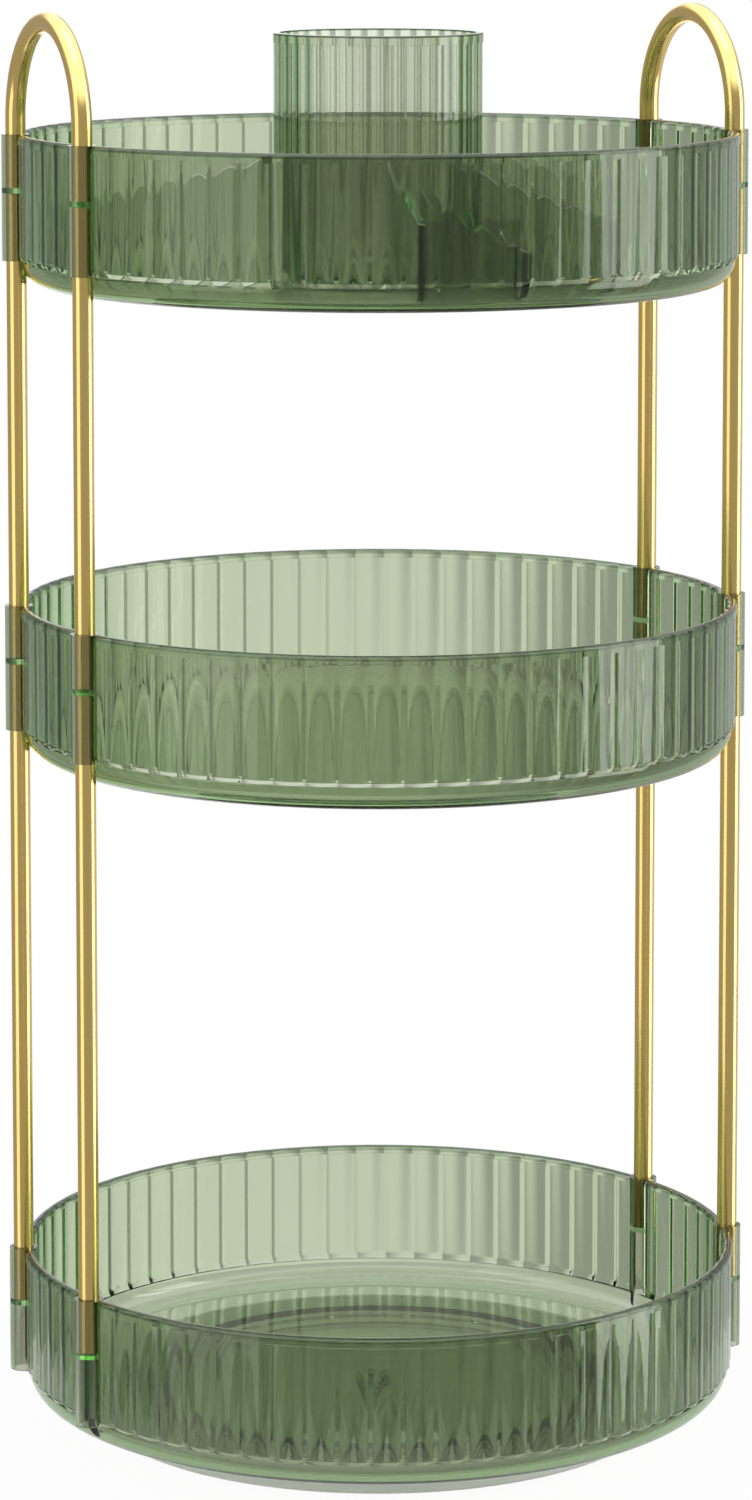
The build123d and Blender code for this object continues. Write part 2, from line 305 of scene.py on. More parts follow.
        def bars(radius: Any, bottom: Any, top: Any) -> bpy.types.NodeSocket:
            """Upright bars at the four posts between two heights.

            Args:
                radius: Radius of a bar.
                bottom: Height of its lower end.
                top: Height of its upper end.

            Returns:
                The bars' geometry.
            """
            depth = sketch.math("SUBTRACT", top, bottom)
            middle = sketch.math("MULTIPLY", sketch.math("ADD", top, bottom), HALF)
            bar = sketch.add("GeometryNodeMeshCylinder", Vertices=given["Sides"], Radius=radius, Depth=depth)
            lift = sketch.add("ShaderNodeCombineXYZ", Z=middle)
            lifted = sketch.add("GeometryNodeTransform", Geometry=bar.outputs["Mesh"],
                                Translation=lift.outputs[0])
            copies = sketch.add("GeometryNodeInstanceOnPoints", Points=points.outputs[0],
                                Instance=lifted.outputs[0])
            return sketch.add("GeometryNodeRealizeInstances", Geometry=copies.outputs[0]).outputs[0]

        def carve(operation: str, body: Any, tools: list[Any]) -> bpy.types.NodeSocket:
            """Join tools to a body or cut them from it.

            Args:
                operation: UNION or DIFFERENCE.
                body: Geometry of the body.
                tools: Geometries that are joined or cut.

            Returns:
                The new geometry.
            """
            node = sketch.add("GeometryNodeMeshBoolean")
            node.operation = operation
            node.solver = "MANIFOLD"
            entries = [body] if operation == "UNION" else []
            if operation == "DIFFERENCE":
                sketch.feed(node.inputs["Mesh 1"], body)
            for tool in entries + tools:
                sketch.feed(node.inputs["Mesh 2"], tool)
            return node.outputs[0]

        barrels = bars(given["Socket Radius"], given["Socket Bottom"], given["Rim"])
        above = sketch.math("ADD", given["Rim"], given["Overrun"])
        below = sketch.math("SUBTRACT", given["Underside"], given["Overrun"])
        upper = bars(given["Bore Radius"], given["Web Top"], above)
        lower = bars(given["Bore Radius"], below, given["Web Bottom"])
        bored = carve("DIFFERENCE", carve("UNION", given["Tray"], [barrels]), [upper, lower])
        return Workshop._end_tree(sketch, given, result, bored)

    @staticmethod
    def _tube_tree() -> bpy.types.NodeTree:
        """Tree that runs a round section along a path.

        Returns:
            The tree.
        """
        sketch, given, result = new_group(
            "GeometryNodeTree", "tube_along_path",
            {"Path": "NodeSocketGeometry", "Radius": "NodeSocketFloat", "Sides": "NodeSocketInt",
             "Material": "NodeSocketMaterial"},
            {"Mesh": "NodeSocketGeometry"})
        section = sketch.add("GeometryNodeCurvePrimitiveCircle", Resolution=given["Sides"],
                             Radius=given["Radius"])
        swept = sketch.add("GeometryNodeCurveToMesh", Curve=given["Path"], Profile_Curve=section.outputs[0])
        return Workshop._end_tree(sketch, given, result, swept.outputs[0])

    @staticmethod
    def link(data: bpy.types.ID, name: str) -> bpy.types.Object:
        """Put new object data into the scene.

        Args:
            data: A mesh or curve.
            name: Name of the new object.

        Returns:
            The new object.
        """
        piece = bpy.data.objects.new(name, data)
        bpy.context.scene.collection.objects.link(piece)
        return piece

    @staticmethod
    def run(piece: bpy.types.Object, tree: bpy.types.NodeTree, values: dict[str, Any]) -> bpy.types.Object:
        """Run a tree on an object and keep the result as a plain mesh.

        Args:
            piece: Object whose geometry goes into the tree.
            tree: The geometry node tree.
            values: Values of the tree's named inputs.

        Returns:
            The object that holds the finished mesh.
        """
        modifier = piece.modifiers.new(tree.name, "NODES")
        modifier.node_group = tree
        for item in tree.interface.items_tree:
            if item.in_out == "INPUT" and item.name in values:
                modifier[item.identifier] = values[item.name]
        return Workshop.settle(piece)

    @staticmethod
    def settle(piece: bpy.types.Object) -> bpy.types.Object:
        """Turn an object's evaluated geometry into its own mesh and drop its modifiers.

        Args:
            piece: Object with live modifiers.

        Returns:
            The same object, or a mesh object of the same name where it was a curve.
        """
        graph = bpy.context.evaluated_depsgraph_get()
        mesh = bpy.data.meshes.new_from_object(piece.evaluated_get(graph))
        mesh.name = piece.name
        if piece.type == "MESH":
            piece.modifiers.clear()
            piece.data = mesh
            return piece
        name = piece.name
        bpy.data.objects.remove(piece)
        return Workshop.link(mesh, name)

    @staticmethod
    def finish_mesh(piece: bpy.types.Object, move: Vector = Vector((0, 0, 0))) -> bpy.types.Object:
        """Move a mesh to its place, point its faces outwards and shade it smooth between creases.

        Args:
            piece: The mesh object.
            move: How far the mesh is moved.

        Returns:
            The same object.
        """
        shape = bmesh.new()
        shape.from_mesh(piece.data)
        bmesh.ops.remove_doubles(shape, verts=shape.verts, dist=MERGE_DISTANCE)
        bmesh.ops.recalc_face_normals(shape, faces=shape.faces)
        if shape.calc_volume(signed=True) < 0:
            bmesh.ops.reverse_faces(shape, faces=shape.faces)
        bmesh.ops.translate(shape, verts=shape.verts, vec=move)
        loose = [edge for edge in shape.edges if not edge.is_manifold]
        if loose:
            log.warning("%s has %d open or branched edges", piece.name, len(loose))
        shape.to_mesh(piece.data)
        shape.free()
        piece.data.shade_smooth()
        piece.data.set_sharp_from_angle(angle=CREASE_ANGLE)
        return piece

    @staticmethod
    def join(piece: bpy.types.Object, additions: list[bpy.types.Object]) -> bpy.types.Object:
        """Join closed meshes to a piece and remove them.

        Args:
            piece: The mesh object that grows.
            additions: Closed mesh objects that reach into it.

        Returns:
            The piece, as one closed mesh.
        """
        for addition in additions:
            union = piece.modifiers.new("join", "BOOLEAN")
            union.operation = "UNION"
            union.solver = "MANIFOLD"
            union.object = addition
        Workshop.settle(piece)
        for addition in additions:
            bpy.data.objects.remove(addition)
        return piece


@dataclass(frozen=True)
class Reeds:
    """Vertical reeds round a wall."""

    count: int
    depth: float
    turn: float = math.radians(-1.25)
    columns: int = 16


@dataclass
class Profile:
    """Half section of a turned piece: radius and height of its points, their reeds and their painted edge
    shade.
    """

    points: list[Point] = field(default_factory=list)
    reeds: list[float] = field(default_factory=list)
    grooves: list[float] = field(default_factory=list)
    edges: list[float] = field(default_factory=list)

    def to(self, radius: float, height: float, reed: float = 0.0, groove: float = 0.0,
           edge: float = 0.0) -> Profile:
        """Add one point.

        Args:
            radius: Its distance from Z.
            height: Its height.
            reed: Share of the reed depth that it takes as a wide hollow.
            groove: Share that it takes as a narrow groove.
            edge: How deep the painted edge shade is.

        Returns:
            The profile itself.
        """
        self.points.append((radius, height))
        self.reeds.append(reed)
        self.grooves.append(groove)
        self.edges.append(edge)
        return self

    def arc(self, centre: Point, radius: float, start: float, end: float, steps: int = 8, reed: float = 0.0,
            edge: float = 0.0) -> Profile:
        """Add a round stretch.

        Args:
            centre: Centre of the arc.
            radius: Radius of the arc.
            start: First angle in degrees, counter-clockwise from outwards.
            end: Last angle in degrees.
            steps: Number of straight runs.
            reed: Share of the reed depth.
            edge: How deep the painted edge shade is.

        Returns:
            The profile itself.
        """
        for index in range(steps + 1):
            angle = math.radians(start + (end - start) * index / steps)
            out = centre[0] + radius * math.cos(angle)
            up = centre[1] + radius * math.sin(angle)
            self.to(out, up, reed, edge=edge)
        return self

    def turn(self, shop: Workshop, name: str, material: bpy.types.Material, reeds: Reeds) -> bpy.types.Object:
        """Turn the profile round Z.

        Args:
            shop: The geometry node trees.
            name: Name of the new piece.
            material: Its material.
            reeds: The reeds that its reeded points follow.

        Returns:
            The new mesh object.
        """
        mesh = bpy.data.meshes.new(name)
        mesh.from_pydata([(radius, 0, height) for radius, height in self.points],
                         [(index, index + 1) for index in range(len(self.points) - 1)], [])
        for label, shares in (("reed", self.reeds), ("groove", self.grooves), ("edge", self.edges)):
            mesh.attributes.new(label, "FLOAT", "POINT").data.foreach_set("value", shares)
        piece = shop.link(mesh, name)
        return shop.run(piece, shop.turning, {
            "Rows": len(self.points), "Columns": reeds.count * reeds.columns,
            "Columns per Reed": reeds.columns, "Reed Turn": reeds.turn, "Reed Depth": reeds.depth,
            "Merge": MERGE_DISTANCE, "Material": material})


class SurfaceGroups:
    """Shader node groups that several finishes share."""

    BLOTCH_DETAIL = 2.0
    SCUFF_DETAIL = 4.0
    SCUFF_ROUGHNESS = 0.6
    BLOTCH_SHARE = 0.6
    SCUFF_SHARE = 0.4

    def __init__(self) -> None:
        """Build each group once."""
        self.handling = self._handling_group()

    @classmethod
    def _handling_group(cls) -> bpy.types.NodeTree:
        """Group for the marks of moulding and handling.

        Returns:
            The group: soft blotches and fine scuffs over Object coordinates, as a tint, a roughness and
            a height.
        """
        sketch, given, result = new_group(
            "ShaderNodeTree", "handling_marks",
            {"Blotch Scale": "NodeSocketFloat", "Scuff Scale": "NodeSocketFloat",
             "Stretch": "NodeSocketVector", "Colour": "NodeSocketColor", "Deep Colour": "NodeSocketColor",
             "Low Roughness": "NodeSocketFloat", "High Roughness": "NodeSocketFloat"},
            {"Colour": "NodeSocketColor", "Roughness": "NodeSocketFloat", "Height": "NodeSocketFloat"})
        where = sketch.add("ShaderNodeTexCoord").outputs["Object"]
        stretched = sketch.add("ShaderNodeVectorMath")
        stretched.operation = "MULTIPLY"
        sketch.feed(stretched.inputs[0], where)
        sketch.feed(stretched.inputs[1], given["Stretch"])
        blotch = sketch.add("ShaderNodeTexNoise", Vector=where, Scale=given["Blotch Scale"],
                            Detail=cls.BLOTCH_DETAIL)
        scuff = sketch.add("ShaderNodeTexNoise", Vector=stretched.outputs[0], Scale=given["Scuff Scale"],
                           Detail=cls.SCUFF_DETAIL, Roughness=cls.SCUFF_ROUGHNESS)
        scuffed = sketch.math("MULTIPLY", scuff.outputs[0], cls.SCUFF_SHARE)
        both = sketch.math("MULTIPLY_ADD", blotch.outputs[0], cls.BLOTCH_SHARE, scuffed)
        span = sketch.math("SUBTRACT", given["High Roughness"], given["Low Roughness"])
        sketch.feed(result["Colour"], sketch.blend(both, given["Colour"], given["Deep Colour"]))
        sketch.feed(result["Roughness"], sketch.math("MULTIPLY_ADD", both, span, given["Low Roughness"]))
        sketch.feed(result["Height"], scuff.outputs[0])
        return sketch.tree


@dataclass(frozen=True)
class Finish:
    """A surface finish: two close colours, a range of roughness and fine scuffs."""

    name: str
    colour: Colour
    deep_colour: Colour
    roughness: Point
    metallic: float = 0.0
    blotch_scale: float = 30.0
    scuff_scale: float = 400.0
    stretch: tuple[float, float, float] = (1.0, 1.0, 1.0)
    bump: float = 0.02
    bump_depth: float = 0.0002

    def material(self, groups: SurfaceGroups) -> bpy.types.Material:
        """Build the material.

        Args:
            groups: The shared shader groups.

        Returns:
            The new material.
        """
        material = bpy.data.materials.new(self.name)
        material.use_nodes = True
        sketch = Sketch(material.node_tree)
        shader = material.node_tree.nodes["Principled BSDF"]
        marks = sketch.add("ShaderNodeGroup")
        marks.node_tree = groups.handling
        values = {"Blotch Scale": self.blotch_scale, "Scuff Scale": self.scuff_scale, "Stretch": self.stretch,
                  "Colour": (*self.colour, 1.0), "Deep Colour": (*self.deep_colour, 1.0),
                  "Low Roughness": self.roughness[0], "High Roughness": self.roughness[1]}
        for label, value in values.items():
            marks.inputs[label].default_value = value
        bump = sketch.add("ShaderNodeBump", Strength=self.bump, Distance=self.bump_depth,
                          Height=marks.outputs["Height"])
        sketch.feed(shader.inputs["Roughness"], marks.outputs["Roughness"])
        sketch.feed(shader.inputs["Normal"], bump.outputs[0])
        self.dress(sketch, shader, marks)
        return material

    def dress(self, sketch: Sketch, shader: bpy.types.Node, marks: bpy.types.Node) -> None:
        """Set what an opaque finish has beyond roughness and scuffs."""
        sketch.feed(shader.inputs["Base Color"], marks.outputs["Colour"])
        shader.inputs["Metallic"].default_value = self.metallic


@dataclass(frozen=True)
class ClearFinish(Finish):
    """Clear tinted plastic, coloured at its faces and by its thickness, with painted shade at its edges."""

    roughness: Point = (0.0, 0.008)
    blotch_scale: float = 22.0
    scuff_scale: float = 260.0
    bump: float = 0.01
    refraction: float = 1.49
    tint: Colour = (0.26, 0.74, 0.08)
    tint_density: float = 130.0
    # Painted shade: a dark colour that stands in for the dark lines that rims, bands and reed ends show
    painted_edge_shade_colour: Colour = (0.03, 0.06, 0.02)

    def dress(self, sketch: Sketch, shader: bpy.types.Node, marks: bpy.types.Node) -> None:
        """Make the surface clear, the inside tinted and paint shade at the edges.

        Args:
            sketch: Sketch of the material's tree.
            shader: Its surface shader.
            marks: Its handling marks.
        """
        # The "edge" attribute mixes the painted edge shade into the surface colour
        edge = sketch.add("ShaderNodeAttribute")
        edge.attribute_name = "edge"
        colour = sketch.blend(edge.outputs["Fac"], marks.outputs["Colour"], (*self.painted_edge_shade_colour, 1.0))
        sketch.feed(shader.inputs["Base Color"], colour)
        shader.inputs["Transmission Weight"].default_value = 1.0
        shader.inputs["IOR"].default_value = self.refraction
        inside = sketch.add("ShaderNodeVolumeAbsorption", Color=(*self.tint, 1.0), Density=self.tint_density)
        output = sketch.tree.nodes["Material Output"]
        sketch.feed(output.inputs["Volume"], inside.outputs[0])


class Finishes:
    """All finishes of the organizer as materials."""

    def __init__(self) -> None:
        """Build the shared groups and each material."""
        groups = SurfaceGroups()
        looks = {
            Slot.GREEN: ClearFinish("clear_green_plastic", (0.555, 0.534, 0.49), (0.535, 0.514, 0.47)),
            Slot.GOLD: Finish("gold_tube", (0.965, 0.71, 0.26), (0.925, 0.66, 0.22), (0.14, 0.24),
                              metallic=1.0, blotch_scale=40, scuff_scale=300, stretch=(6.0, 6.0, 0.2),
                              bump=0.03),
            Slot.WHITE: Finish("white_base_plastic", (0.88, 0.88, 0.87), (0.85, 0.85, 0.84), (0.32, 0.45),
                               scuff_scale=700),
            Slot.RUBBER: Finish("grey_foot_rubber", (0.50, 0.50, 0.49), (0.44, 0.44, 0.43), (0.75, 0.9),
                                scuff_scale=900, bump=0.15),
            Slot.RACE: Finish("zinc_race_steel", (0.70, 0.71, 0.72), (0.60, 0.61, 0.62), (0.22, 0.38),
                              metallic=1.0, blotch_scale=60, scuff_scale=500),
            Slot.BALL: Finish("bright_ball_steel", (0.84, 0.85, 0.87), (0.78, 0.79, 0.81), (0.05, 0.12),
                              metallic=1.0, scuff_scale=900),
            Slot.CAGE: Finish("natural_cage_plastic", (0.86, 0.86, 0.83), (0.80, 0.80, 0.77), (0.4, 0.55),
                              scuff_scale=800),
        }
        self.materials = {slot: look.material(groups) for slot, look in looks.items()}
        insert = ClearFinish("clear_green_insert", (0.785, 0.735, 0.745), (0.765, 0.715, 0.725))
        self.insert = insert.material(groups)

    def __getitem__(self, slot: Slot) -> bpy.types.Material:
        """Material of a slot."""
        return self.materials[slot]


def fit_piece(piece: bpy.types.Object, body: Body, slot: Slot, *nodes: str) -> None:
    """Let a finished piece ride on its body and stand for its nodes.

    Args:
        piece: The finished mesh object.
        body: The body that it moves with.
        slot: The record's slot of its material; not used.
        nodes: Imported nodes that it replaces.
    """
    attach(piece, body.value)
    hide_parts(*nodes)
    log.info("%s: %d faces, on %s", piece.name, len(piece.data.polygons), body.value)


@dataclass
class TubeFrame:
    """Gold posts between the trays and the two bent handles on top."""

    radius: float = 0.0032
    wall: float = 0.0008
    end_round: float = 0.0003
    angle: float = math.radians(16)
    circle: float = 0.115
    sides: int = 64
    bend_steps: int = 72

    @property
    def post_x(self) -> float:
        """Distance of the posts from the YZ plane."""
        return self.circle * math.cos(self.angle)

    @property
    def post_y(self) -> float:
        """Distance of the posts from the XZ plane."""
        return self.circle * math.sin(self.angle)

    def build(self, shop: Workshop, finishes: Finishes) -> None:
        """Build every post and both handles.

        Args:
            shop: The geometry node trees.
            finishes: The materials.
        """
        for tier in ("lower", "upper"):
            for side, x in (("left", -self.post_x), ("right", self.post_x)):
                for end, y in (("front", -self.post_y), ("back", self.post_y)):
                    self.build_post(shop, finishes, f"{tier}_post_{side}_{end}", Vector((x, y, 0)))
        for side, x in (("left", -self.post_x), ("right", self.post_x)):
            self.build_handle(shop, finishes, f"{side}_handle", x)

    def build_post(self, shop: Workshop, finishes: Finishes, node: str, place: Vector) -> None:
        """Build one straight tube.

        Args:
            shop: The geometry node trees.
            finishes: The materials.
            node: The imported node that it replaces.
            place: Place of its axis.
        """
        low, high = (corner.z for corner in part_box(node))
        inner = self.radius - self.wall
        edge = self.end_round
        section = Profile()
        section.to(inner, low).to(self.radius - edge, low).to(self.radius, low + edge)
        section.to(self.radius, high - edge).to(self.radius - edge, high).to(inner, high).to(inner, low)
        around = Reeds(count=1, depth=0.0, columns=self.sides)
        piece = section.turn(shop, f"gold_{node}", finishes[Slot.GOLD], around)
        shop.finish_mesh(piece, place)
        fit_piece(piece, Body.CAROUSEL, Slot.GOLD, node)

    def build_handle(self, shop: Workshop, finishes: Finishes, node: str, x: float) -> None:
        """Build one U-shaped handle.

        Args:
            shop: The geometry node trees.
            finishes: The materials.
            node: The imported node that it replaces.
            x: Place of its plane.
        """
        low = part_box(node)[0].z
        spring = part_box(node)[1].z - self.radius - self.post_y
        points = [Vector((x, -self.post_y, low))]
        for index in range(self.bend_steps + 1):
            angle = math.pi - math.pi * index / self.bend_steps
            points.append(Vector((x, self.post_y * math.cos(angle), spring + self.post_y * math.sin(angle))))
        points.append(Vector((x, self.post_y, low)))
        curve = bpy.data.curves.new(f"gold_{node}", "CURVE")
        curve.dimensions = "3D"
        line = curve.splines.new("POLY")
        line.points.add(len(points) - 1)
        for control, point in zip(line.points, points):
            control.co = (*point, 1.0)
        piece = shop.run(shop.link(curve, f"gold_{node}"), shop.tube, {
            "Radius": self.radius, "Sides": self.sides, "Material": finishes[Slot.GOLD]})
        shell = piece.modifiers.new("wall", "SOLIDIFY")
        shell.thickness = self.wall
        shell.offset = INWARDS
        shop.settle(piece)
        shop.finish_mesh(piece)
        fit_piece(piece, Body.CAROUSEL, Slot.GOLD, node)


@dataclass
class Tray:
    """One reeded round tray with its four post sockets."""

    node: str
    posts: TubeFrame
    pivot: bool = False
    radius: float = 0.115
    height: float = 0.048
    wall: float = 0.0026
    floor: float = 0.0025
    rim_band: float = 0.003
    rim_round: float = 0.0014
    outer_share: float = 0.28
    end_share: float = 0.8
    reed_fade: float = 0.0009
    inner_share: float = 0.42
    inner_round: float = 0.0014
    flank_turn: float = 40.0
    crown_turn: float = 50.0
    round_steps: int = 3
    reed_setback: float = 0.0003
    inner_reed_lift: float = 0.0003
    reed_end_rise: float = 0.0014
    reed_end_run: float = 0.0011
    edge_fade: float = 0.00025
    # Shares of painted shade at the step under the rim band and on the rim's rounds
    band_painted_shade: float = 0.2
    flank_painted_shade: float = 0.6
    crown_painted_shade: float = 1.0
    bowl_inset: float = 0.00145
    bowl_corner: float = 0.008
    bore_clearance: float = 0.00005
    socket_wall: float = 0.00125
    upper_depth: float = 0.0169
    web: float = 0.0017
    overrun: float = 0.001
    socket_sides: int = 48
    reeds: Reeds = field(default_factory=lambda: Reeds(count=72, depth=0.001))
    pin_radius: float = 0.0035
    pin_bottom: float = 0.00335
    shoulder_radius: float = 0.006
    shoulder_bottom: float = 0.0067
    pilot_radius: float = 0.0013
    pilot_top: float = 0.0096

    def section(self, underside: float, rim: float) -> Profile:
        """Half section of the tray from its middle below to its middle above.

        Args:
            underside: Height of its underside.
            rim: Height of its rim.

        Returns:
            The profile.
        """
        crest = self.radius - self.reed_setback
        bowl = self.radius - self.bowl_inset
        corner = self.bowl_corner
        inner_crest = crest - self.wall
        sump = bowl - self.wall
        sump_corner = corner - self.floor
        floor_top = underside + self.floor
        reed_end = underside + corner
        inner_end = reed_end + self.inner_reed_lift
        reed_start = reed_end + self.reed_end_rise
        fade = self.edge_fade
        band = rim - self.rim_band
        section = Profile()
        if self.pivot:
            section.to(0, self.pilot_top).to(self.pilot_radius, self.pilot_top)
            section.to(self.pilot_radius, self.pin_bottom).to(self.pin_radius, self.pin_bottom)
            section.to(self.pin_radius, self.shoulder_bottom).to(self.shoulder_radius, self.shoulder_bottom)
            section.to(self.shoulder_radius, underside)
        else:
            section.to(0, underside)
        section.arc((bowl - corner, reed_end), corner, -QUARTER_TURN, 0)
        section.to(crest - self.reed_end_run, reed_end, self.end_share)
        section.to(crest, reed_start, self.end_share)
        section.to(crest, reed_start + fade, self.end_share)
        section.to(crest, reed_start + self.reed_fade, groove=self.outer_share)
        section.to(crest, band - fade, groove=self.outer_share)
        # Painted shade at the step under the rim band
        section.to(crest, band, groove=self.outer_share, edge=self.band_painted_shade)
        section.to(self.radius, band, edge=self.band_painted_shade).to(self.radius, band + fade)
        section.to(self.radius, rim - self.rim_round - fade)
        steps = self.round_steps
        middle = (self.radius - self.rim_round, rim - self.rim_round)
        # Painted shade on the rim's outer and inner rounds
        section.arc(middle, self.rim_round, 0, self.flank_turn, steps, edge=self.flank_painted_shade)
        section.arc(middle, self.rim_round, self.crown_turn, QUARTER_TURN, steps, edge=self.crown_painted_shade)
        lip = self.inner_round
        middle = (inner_crest + lip, rim - lip)
        section.arc(middle, lip, QUARTER_TURN, HALF_TURN - self.crown_turn, steps, self.inner_share,
                    self.crown_painted_shade)
        section.arc(middle, lip, HALF_TURN - self.flank_turn, HALF_TURN, steps, self.inner_share,
                    self.flank_painted_shade)
        section.to(inner_crest, rim - lip - fade, self.inner_share)
        section.to(inner_crest, inner_end, self.inner_share)
        section.to(sump, inner_end)
        section.arc((sump - sump_corner, floor_top + sump_corner), sump_corner, 0, -QUARTER_TURN)
        return section.to(0, floor_top)

    def build(self, shop: Workshop, finishes: Finishes) -> None:
        """Build the tray.

        Args:
            shop: The geometry node trees.
            finishes: The materials.
        """
        material = finishes[Slot.GREEN]
        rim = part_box(self.node)[1].z
        underside = rim - self.height
        bore = self.posts.radius + self.bore_clearance
        piece = self.section(underside, rim).turn(shop, f"clear_{self.node}", material, self.reeds)
        shop.finish_mesh(piece)
        web_top = rim - self.upper_depth
        shop.run(piece, shop.sockets, {
            "Post X": self.posts.post_x, "Post Y": self.posts.post_y, "Bore Radius": bore,
            "Socket Radius": bore + self.socket_wall, "Socket Bottom": underside + self.bowl_corner,
            "Rim": rim, "Web Top": web_top, "Web Bottom": web_top - self.web, "Underside": underside,
            "Overrun": self.overrun, "Sides": self.socket_sides, "Material": material})
        shop.finish_mesh(piece)
        fit_piece(piece, Body.CAROUSEL, Slot.GREEN, self.node)


@dataclass
class DividerInsert:
    """Lift-out brush cup with its dividers."""

    node: str = "divider_insert"
    cup_radius: float = 0.0335
    cup_wall: float = 0.0018
    cup_floor: float = 0.002
    cup_corner: float = 0.004
    foot_inset: float = 0.0004
    rim_band: float = 0.003
    rim_round: float = 0.0005
    outer_share: float = 0.28
    inner_share: float = 0.7
    edge_fade: float = 0.00025
    # Shares of painted shade at the step under the rim band and on the rim
    band_painted_shade: float = 0.2
    rim_painted_shade: float = 1.0
    rim_steps: int = 4
    reed_setback: float = 0.0003
    thickness: float = 0.0023
    reach: float = 0.108
    divider_corner: float = 0.006
    top_at_cup: float = 0.0075
    top_at_end: float = 0.0215
    low_step: float = 0.0085
    pocket_outer: float = 0.1047
    pocket_top: float = 0.0205
    front: float = math.radians(-88.6)
    narrow: float = math.radians(17)
    rear: float = math.radians(99)
    corner_steps: int = 8
    pocket_steps: int = 24
    reeds: Reeds = field(default_factory=lambda: Reeds(count=36, depth=0.0006))

    def cup_section(self, bottom: float, top: float) -> Profile:
        """Half section of the cup from its middle below to its middle above.

        Args:
            bottom: Height of its underside.
            top: Height of its rim.

        Returns:
            The profile.
        """
        crest = self.cup_radius - self.reed_setback
        foot = crest - self.reeds.depth - self.foot_inset
        inner_crest = crest - self.cup_wall
        sump = foot - self.cup_wall
        sump_corner = self.cup_corner - self.cup_floor
        foot_top = bottom + self.cup_corner
        fade = self.edge_fade
        band = top - self.rim_band
        section = Profile().to(0, bottom)
        section.arc((foot - self.cup_corner, foot_top), self.cup_corner, -QUARTER_TURN, 0)
        section.to(crest, foot_top, groove=self.outer_share).to(crest, band - fade, groove=self.outer_share)
        # Painted shade at the step under the rim band
        section.to(crest, band, groove=self.outer_share, edge=self.band_painted_shade)
        section.to(self.cup_radius, band, edge=self.band_painted_shade).to(self.cup_radius, band + fade)
        section.to(self.cup_radius, top - self.rim_round - fade)
        middle = (self.cup_radius - self.rim_round, top - self.rim_round)
        # Painted shade on the rim's round and top
        section.arc(middle, self.rim_round, 0, QUARTER_TURN, self.rim_steps, edge=self.rim_painted_shade)
        section.to(inner_crest, top, self.inner_share, edge=self.rim_painted_shade)
        section.to(inner_crest, top - fade, self.inner_share)
        section.to(inner_crest, foot_top, self.inner_share).to(sump, foot_top)
        section.arc((sump - sump_corner, foot_top), sump_corner, 0, -QUARTER_TURN)
        return section.to(0, bottom + self.cup_floor)

    def plate(self, shop: Workshop, material: bpy.types.Material, angle: float, bottom: float,
              heights: Point) -> bpy.types.Object:
        """Build one upright divider.

        Args:
            shop: The geometry node trees.
            material: Its material.
            angle: Its direction round Z.
            bottom: Height of its lower edge.
            heights: Heights of its top at the cup and at its far end.

        Returns:
            The new mesh object.
        """
        inner = self.cup_radius - self.reed_setback - self.reeds.depth - self.cup_wall / 2
        round_x = self.reach - self.divider_corner
        round_z = bottom + self.divider_corner
        outline = [(inner, heights[0]), (inner, bottom)]
        for index in range(self.corner_steps + 1):
            turn = -math.pi / 2 + math.pi / 2 * index / self.corner_steps
            outline.append((round_x + self.divider_corner * math.cos(turn),
                            round_z + self.divider_corner * math.sin(turn)))
        outline.append((self.reach, heights[1]))
        shape = bmesh.new()
        along = Vector((math.cos(angle), math.sin(angle), 0))
        across = Vector((-along.y, along.x, 0)) * self.thickness
        corners = [shape.verts.new(along * x - across / 2 + Vector((0, 0, z))) for x, z in outline]
        face = shape.faces.new(corners)
        grown = bmesh.ops.extrude_face_region(shape, geom=[face])["geom"]
        far_corners = [item for item in grown if isinstance(item, bmesh.types.BMVert)]
        bmesh.ops.translate(shape, verts=far_corners, vec=across)
        return self.keep(shop, shape, material)

    def pocket_wall(self, shop: Workshop, material: bpy.types.Material, bottom: float,
                    top: float) -> bpy.types.Object:
        """Build the curved wall that closes one narrow pocket.

        Args:
            shop: The geometry node trees.
            material: Its material.
            bottom: Height of its lower edge.
            top: Height of its upper edge.

        Returns:
            The new mesh object.
        """
        inner = self.pocket_outer - self.thickness
        sides = ((inner, bottom), (self.pocket_outer, bottom), (self.pocket_outer, top), (inner, top))
        shape = bmesh.new()
        rings = []
        for index in range(self.pocket_steps + 1):
            angle = self.front - self.narrow + self.narrow * index / self.pocket_steps
            along = Vector((math.cos(angle), math.sin(angle), 0))
            rings.append([shape.verts.new(along * radius + Vector((0, 0, z))) for radius, z in sides])
        for near, far in zip(rings, rings[1:]):
            for index in range(len(sides)):
                follow = (index + 1) % len(sides)
                shape.faces.new((near[index], near[follow], far[follow], far[index]))
        shape.faces.new(rings[0][::-1])
        shape.faces.new(rings[-1])
        return self.keep(shop, shape, material)

    def keep(self, shop: Workshop, shape: bmesh.types.BMesh,
             material: bpy.types.Material) -> bpy.types.Object:
        """Turn a finished shape into an object.

        Args:
            shop: The geometry node trees.
            shape: The shape, which is freed.
            material: Its material.

        Returns:
            The new mesh object.
        """
        bmesh.ops.recalc_face_normals(shape, faces=shape.faces)
        mesh = bpy.data.meshes.new("divider")
        shape.to_mesh(mesh)
        shape.free()
        mesh.materials.append(material)
        return shop.link(mesh, "divider")

